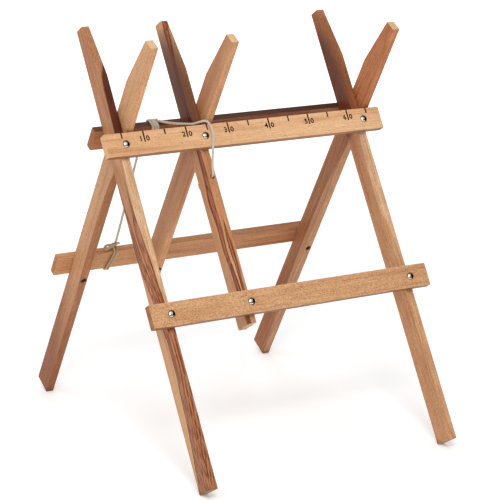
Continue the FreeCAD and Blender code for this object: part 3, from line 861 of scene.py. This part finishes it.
# The hitch on the lower rear rail: (x, along, out) from the middle of the rail's section.
HITCH_X = -0.1872
HITCH_ROUTE = [
    (0.0000, 0.0440, 0.0020), (0.0000, 0.0360, 0.0050), (-0.0010, 0.0290, 0.0110),
    (-0.0020, 0.0200, 0.0126), (-0.0035, -0.0190, 0.0126), (-0.0045, -0.0275, 0.0095),
    (-0.0065, -0.0285, -0.0040), (-0.0085, -0.0270, -0.0105), (-0.0080, -0.0190, -0.0126),
    (0.0010, 0.0190, -0.0126), (0.0035, 0.0270, -0.0100), (0.0050, 0.0300, 0.0000),
    (0.0045, 0.0275, 0.0100), (0.0030, 0.0190, 0.0126), (-0.0095, -0.0190, 0.0126),
    (-0.0120, -0.0275, 0.0095), (-0.0140, -0.0285, -0.0040), (-0.0150, -0.0270, -0.0105),
    (-0.0142, -0.0190, -0.0126), (-0.0050, 0.0190, -0.0126), (-0.0040, 0.0280, -0.0105),
    (-0.0050, 0.0340, -0.0040), (-0.0115, 0.0370, 0.0030), (-0.0205, 0.0320, 0.0060),
    (-0.0255, 0.0285, 0.0010), (-0.0225, 0.0300, -0.0050), (-0.0130, 0.0390, -0.0060),
    (-0.0020, 0.0440, -0.0050), (0.0070, 0.0425, -0.0010), (0.0095, 0.0370, 0.0040),
    (0.0040, 0.0340, 0.0070), (-0.0060, 0.0345, 0.0065), (-0.0120, 0.0310, 0.0020),
]


def hitch_line():
    route = [place("rear", HITCH_X + x, LOWER_DROP + along, RAIL_MIDDLE + out)
             for x, along, out in HITCH_ROUTE]
    return smooth_line("hitch", route)


KNOT_REACH = 0.00158         # millimetre-sized unit of the trefoil that the stop knot follows
KNOT_RISE = 1.6
KNOT_POINTS = 26
KNOT_START, KNOT_SPAN = 0.18 * math.pi, 1.78 * math.pi       # part of the trefoil that is used
KNOT_MIDDLE = -0.0075        # how far behind the leg it sits


def stop_knot_line():
    """From the hole through an overhand knot behind the leg to a short free end."""
    route = [(0.0, 0.0, 0.004), (0.0, 0.0, -0.0015)]
    for i in range(1, KNOT_POINTS):
        t = KNOT_START + KNOT_SPAN * i / KNOT_POINTS
        route.append((
            KNOT_REACH * (math.sin(t) + 2 * math.sin(2 * t)),
            KNOT_REACH * (math.cos(t) - 2 * math.cos(2 * t)),
            KNOT_MIDDLE - KNOT_REACH * KNOT_RISE * math.sin(3 * t),
        ))
    route += [(0.003, -0.0085, -0.0095), (0.004, -0.0150, -0.0085), (0.003, -0.0230, -0.0062)]
    return smooth_line("stop_knot", [
        place("front", HOLE_X + x, CORD_HOLE_DROP + along, -HALF_WIDTH + out)
        for x, along, out in route
    ])


def make_cord(material, tan_fibre):
    line = smooth_line("cord", cord_route())
    cord, centres = twisted("cord", line, material)
    hitch, _ = twisted("cord_hitch_knot", hitch_line(), tan_fibre)
    knot, _ = twisted("cord_end_knot", stop_knot_line(), material)
    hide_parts("cord_front", "cord_crossing", "cord_turns", "cord_rear")
    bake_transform(cord)
    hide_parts("cord_hitch")
    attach(hitch, "rear_frame")
    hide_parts("cord_stop_knot")
    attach(knot, "front_frame")


# --- the printed scale ------------------------------------------------------------------------

RAIL_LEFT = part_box("rail_front_upper")[0].x
SCALE_START = RAIL_LEFT - 0.010      # where the scale would read 0
SCALE_STEP = 0.050
SCALE_MARKS = 13
RAIL_TOP = UPPER_DROP + HALF_WIDTH
RAIL_ROUND = 0.002
INK_RISE = 0.00006
INK_THICK = 0.00006
SHORT_MARK = 0.0125
LONG_MARK = 0.0245
MARK_WIDTH = 0.0034
DIGIT_HEIGHT = 0.0115
DIGIT_OFFSET = 0.0078
DIGIT_BOTTOM = 0.0225
DIGIT_WEIGHT = 0.030         # how far the font's outline is let out, of its size
DIGIT_WIDEN = 1.05
MARK_TAPER = 0.12


def face_out(depth):
    """How far out the rail's face is, at a depth below its top edge."""
    if depth >= RAIL_ROUND:
        return RAIL_OUT
    return RAIL_OUT - RAIL_ROUND + math.sqrt(RAIL_ROUND ** 2 - (RAIL_ROUND - depth) ** 2)


def scale_mark(x, length):
    """A thin printed stroke that starts on the rail's rounded top edge."""
    depths = [0.0007, 0.0011, 0.0015, 0.0020, length * 0.5, length]
    points, faces = [], []
    for depth in depths:
        for rise in (INK_RISE + INK_THICK, 0.0):
            for across in (-0.5, 0.5):
                at = x + across * MARK_WIDTH * (1.0 - MARK_TAPER * depth / length)
                points.append(place("front", at, RAIL_TOP - depth, face_out(depth) + rise))
    for i in range(len(depths) - 1):
        a, b = i * 4, i * 4 + 4
        faces += [(a, a + 1, b + 1, b), (a + 2, b + 2, b + 3, a + 3),
                  (a, b, b + 2, a + 2), (a + 1, a + 3, b + 3, b + 1)]
    last = len(points) - 4
    faces += [(0, 2, 3, 1), (last, last + 1, last + 3, last + 2)]
    return points, faces


def digit(character, x):
    """A printed digit, centred on x."""
    data = bpy.data.curves.new("digit", "FONT")
    data.body = character
    data.align_x = "CENTER"
    data.extrude = 0.5
    data.offset = DIGIT_WEIGHT
    text = bpy.data.objects.new("digit", data)
    shape = bpy.data.meshes.new_from_object(text)
    bpy.data.objects.remove(text)
    xs = [v.co.x for v in shape.vertices]
    ys = [v.co.y for v in shape.vertices]
    size = DIGIT_HEIGHT / (max(ys) - min(ys))
    centre = (max(xs) + min(xs)) / 2
    points = [
        place("front", x + (v.co.x - centre) * size * DIGIT_WIDEN,
              RAIL_TOP - DIGIT_BOTTOM + (v.co.y - min(ys)) * size,
              RAIL_OUT + (INK_RISE + INK_THICK if v.co.z > 0 else 0.0))
        for v in shape.vertices
    ]
    faces = [tuple(p.vertices) for p in shape.polygons]
    bpy.data.meshes.remove(shape)
    return points, faces


def make_scale(material):
    """A mark every 5 cm, and a two-digit number of centimetres astride every second one."""
    printed = []
    for number in range(1, SCALE_MARKS + 1):
        x = SCALE_START + number * SCALE_STEP
        long_one = number % 2 == 0
        printed.append(scale_mark(x, LONG_MARK if long_one else SHORT_MARK))
        if long_one:
            for character, way in zip(str(number * 5), (-1, 1)):
                printed.append(digit(character, x + way * DIGIT_OFFSET))
    points, faces = joined(printed)
    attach(mesh_object("scale_marks", points, faces, material, smooth=False), "front_frame")


# --- fasteners --------------------------------------------------------------------------------


HEAD_SIDES, THREAD_SIDES, NUT_SIDES, RING_SIDES = 56, 28, 72, 64
DOME_STEPS = 12
SHARP_ANGLE = math.radians(38)


def turned(profile, origin, axis, count=HEAD_SIDES):
    """A solid of revolution: profile is (distance along the axis, radius)."""
    across = axis.orthogonal().normalized()
    up = axis.cross(across)
    centres = [origin + axis * at for at, _ in profile]
    radii = [radius for _, radius in profile]
    n = len(profile)
    return tube_rings(centres, [across] * n, [up] * n, radii, count)


def dome_profile(radius, rise, shank, length):
    """A domed head with a small rolled rim, and its shank below."""
    rim = rise * 0.16
    profile = []
    for i in range(DOME_STEPS + 1):
        angle = math.pi / 2 * (i + 0.12) / (DOME_STEPS + 0.12)
        profile.append((rise - (rise - rim) * (1 - math.cos(angle)),
                        radius * 0.985 * math.sin(angle)))
    profile += [(rim * 0.55, radius), (rim * 0.1, radius * 0.99), (0.0, radius * 0.96)]
    profile += [(0.0, shank), (-length, shank)]
    return profile


def thread_profile(start, end, radius, pitch):
    """A ridged stretch of shank, with a bevelled end."""
    profile = []
    at = start
    while at > end + pitch:
        profile += [(at, radius * 0.87), (at - pitch / 2, radius)]
        at -= pitch
    profile += [(end + pitch * 0.6, radius * 0.87), (end, radius * 0.7)]
    return profile


def hexagon_nut(origin, axis, flats, height, hole, start_turn=0.0):
    """A nut with bevelled corners and a tapped hole: it starts at origin, along axis."""
    side = Vector((1, 0, 0)) if abs(axis.x) < 0.5 else Vector((0, 1, 0))
    across = (side - axis * side.dot(axis)).normalized()
    up = axis.cross(across)
    corner = flats / 2 / math.cos(math.pi / 6)
    count = NUT_SIDES
    levels = [(0.0, 0.93), (0.06, 0.97), (0.14, 1.0), (0.86, 1.0), (0.94, 0.97), (1.0, 0.93)]
    points, faces = [], []
    for at, share in levels:
        for i in range(count):
            angle = 2 * math.pi * i / count + start_turn
            flat = flats / 2 / math.cos((angle - start_turn) % (math.pi / 3) - math.pi / 6)
            radius = min(flat, corner * share)
            points.append(origin + axis * (at * height)
                          + (across * math.cos(angle) + up * math.sin(angle)) * radius)
    inner = [(1.0, hole * 1.12), (0.93, hole), (0.07, hole), (0.0, hole * 1.12)]
    for at, radius in inner:
        for i in range(count):
            angle = 2 * math.pi * i / count + start_turn
            points.append(origin + axis * (at * height)
                          + (across * math.cos(angle) + up * math.sin(angle)) * radius)
    for start in range(0, len(points), count):
        after = (start + count) % len(points)
        for i in range(count):
            j = (i + 1) % count
            faces.append((start + i, start + j, after + j, after + i))
    return points, faces


def fastener(name, body, node, slot, material, *solids):
    """Joins the solids of one fastener into a piece that stands for its CAD node."""
    piece = mesh_object(name, *joined(solids), material)
    piece.data.set_sharp_from_angle(angle=SHARP_ANGLE)
    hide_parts(node)
    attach(piece, body)


HEAD_RADIUS, HEAD_RISE = 0.00775, 0.0040
BOLT_RADIUS, BOLT_LENGTH = 0.0030, 0.065
NUT_FLATS, NUT_HEIGHT, POCKET_DEPTH = 0.010, 0.005, 0.009
PIVOT_RADIUS, PIVOT_LENGTH = 0.0040, 0.0345
PIVOT_HEAD_RADIUS, PIVOT_HEAD_RISE = 0.0070, 0.0024
INSERT_RIDGES = 7
THREAD_PITCH = 0.0010
THREAD_LENGTH = 0.014


def bolt_solids(head, axis, head_radius, rise, shank, length):
    plain = turned(dome_profile(head_radius, rise, shank, length - THREAD_LENGTH), head, axis)
    thread = turned(thread_profile(-length + THREAD_LENGTH, -length, shank, THREAD_PITCH),
                    head, axis, THREAD_SIDES)
    return plain, thread


def make_fasteners(bright, plated):
    rng = random.Random(3)
    for side in ("front", "rear"):
        _, _, outward = axes(side)
        for level, drop in (("upper", UPPER_DROP), ("lower", LOWER_DROP)):
            for pair in ("left", "middle", "right"):
                x = middle_x(f"leg_{side}_{pair}")
                where = f"{side}_{level}_{pair}"
                head = place(side, x, drop, RAIL_OUT)
                solids = bolt_solids(head, outward, HEAD_RADIUS, HEAD_RISE, BOLT_RADIUS,
                                     BOLT_LENGTH)
                fastener("rail_bolt_" + where, side + "_frame", "bolt_" + where, "bolt_steel",
                         bright, *solids)
                seat = place(side, x, drop, -HALF_WIDTH + POCKET_DEPTH)
                nut = hexagon_nut(seat, -outward, NUT_FLATS, NUT_HEIGHT, BOLT_RADIUS * 1.01,
                                  rng.uniform(0, 1))
                fastener("rail_nut_" + where, side + "_frame", "nut_" + where, "nut_steel",
                         plated, nut)
    for pair in ("left", "middle", "right"):
        make_pivot(pair, bright, plated)


def ring(low, high, outer, inner, ridges=0):
    """A flat ring along X with eased edges, and ridges round its rim if it is an insert."""
    ease = min(0.0002, (high - low) / 4)
    profile = [(low, inner), (low, outer - ease), (low + ease, outer)]
    step = (high - low - 2 * ease) / max(ridges, 1)
    for i in range(ridges):
        start = low + ease + i * step
        profile += [(start + step * 0.35, outer * 0.92), (start + step * 0.65, outer * 0.92),
                    (start + step, outer)]
    profile += [(high - ease, outer)] if not ridges else []
    profile += [(high, outer - ease), (high, inner), (low, inner)]
    points, faces = turned(profile, Vector((0, 0, PIVOT.z)), Vector((1, 0, 0)), RING_SIDES)
    last = RING_SIDES * (len(profile) - 1)
    return points[:last], [tuple(v % last for v in face) for face in faces[:-2]]


def make_pivot(pair, bright, plated):
    """The bolt comes in from the right and ends in an insert in the front leg."""
    head = Vector((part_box("pivot_washer_" + pair)[1].x, 0, PIVOT.z))
    solids = bolt_solids(head, Vector((1, 0, 0)), PIVOT_HEAD_RADIUS, PIVOT_HEAD_RISE, PIVOT_RADIUS,
                         PIVOT_LENGTH)
    fastener("pivot_screw_" + pair, "front_frame", "pivot_bolt_" + pair, "bolt_steel", bright,
             *solids)
    for kind, ridges in (("insert", INSERT_RIDGES), ("spacer", 0), ("washer", 0)):
        low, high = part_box(f"pivot_{kind}_{pair}")
        solid = ring(low.x, high.x, (high.z - low.z) / 2, PIVOT_RADIUS * 1.02, ridges)
        fastener(f"pivot_{kind}_ring_{pair}", "front_frame", f"pivot_{kind}_{pair}", "nut_steel",
                 plated, solid)


# --- studio -----------------------------------------------------------------------------------

FLOOR_SIZE = 60.0
LIT_MIDDLE = Vector((0, 0, 0.45))

# Of each light: name, place, width, watts, colour.
LIGHTS = [
    ("key", (-1.5, -3.0, 3.4), 1.3, 66, (1.0, 0.99, 0.97)),
    ("fill", (-3.6, -0.8, 1.6), 1.8, 8, (1.0, 0.99, 0.98)),
    ("back", (1.4, 3.4, 3.0), 2.2, 20, (1, 1, 1)),
]


def make_floor():
    material, graph, shader = new_material("studio_floor")
    where = graph.add("ShaderNodeTexCoord").outputs["Object"]
    cloud = graph.noise(where, 3.0, 3.0)
    colour = graph.mix(graph.step(cloud, 0.3, 0.7), rgb(250, 250, 250), rgb(253, 253, 253))
    graph.put(shader.inputs["Base Color"], colour)
    shader.inputs["Roughness"].default_value = 0.9
    shader.inputs["Specular IOR Level"].default_value = 0.1
    shader.inputs["Emission Color"].default_value = (1, 1, 1, 1)
    distance = graph.add("ShaderNodeVectorMath", {0: where}, operation="LENGTH").outputs["Value"]
    graph.put(shader.inputs["Emission Strength"], graph.step(distance, 1.5, 7.0, 0.22, 0.80))
    half = FLOOR_SIZE / 2
    corners = [(-half, -half, 0), (half, -half, 0), (half, half, 0), (-half, half, 0)]
    floor = mesh_object("studio_floor", corners, [(0, 1, 2, 3)], material, smooth=False)
    floor.location.z = CAD_BOX[0].z


def area_light(name, at, size, power, colour):
    data = bpy.data.lights.new(name, "AREA")
    data.shape = "DISK"
    data.size = size
    data.energy = power
    data.color = colour
    light = bpy.data.objects.new(name, data)
    light.location = at
    aim = LIT_MIDDLE - Vector(at)
    light.rotation_euler = aim.to_track_quat("-Z", "Y").to_euler()
    bpy.context.scene.collection.objects.link(light)


def make_studio():
    """A pale floor under an even bright ceiling, with darker walls for the metal to reflect."""
    make_floor()
    world = bpy.data.worlds.new("studio")
    bpy.context.scene.world = world
    world.use_nodes = True
    world.node_tree.nodes.clear()
    graph = Graph(world.node_tree)
    way = graph.add("ShaderNodeTexCoord").outputs["Generated"]
    split = graph.add("ShaderNodeSeparateXYZ", {0: way}).outputs
    ceiling = graph.step(split[2], 0.25, 0.62, 0.03, 0.95)
    wall = graph.times(graph.step(split[0], 0.30, 0.60), graph.step(split[2], 0.80, 0.55))
    shade = graph.times(ceiling, graph.minus(1.0, wall))
    background = graph.add("ShaderNodeBackground", {"Strength": shade})
    output = graph.add("ShaderNodeOutputWorld")
    graph.tree.links.new(background.outputs[0], output.inputs["Surface"])
    background.inputs["Color"].default_value = (1, 1, 1, 1)
    for light in LIGHTS:
        area_light(*light)
    scene = bpy.context.scene
    scene.view_settings.view_transform = "Standard"
    scene.view_settings.look = "None"


make_camera()
make_cord(
    cord_fibre("cord_fibre", rgb(188, 178, 162), rgb(228, 220, 206)),
    # The hitch's cord is a darker yellowish tan.
    cord_fibre("tan_cord_fibre", rgb(176, 146, 108), rgb(218, 190, 150)),
)
dress_laths()
make_scale(printing_ink())
make_fasteners(
    metal("bright_zinc", (0.86, 0.81, 0.70, 1), 0.16, 220.0),
    metal("plated_steel", (0.46, 0.45, 0.43, 1), 0.42, 160.0, 0.08),
)
make_studio()
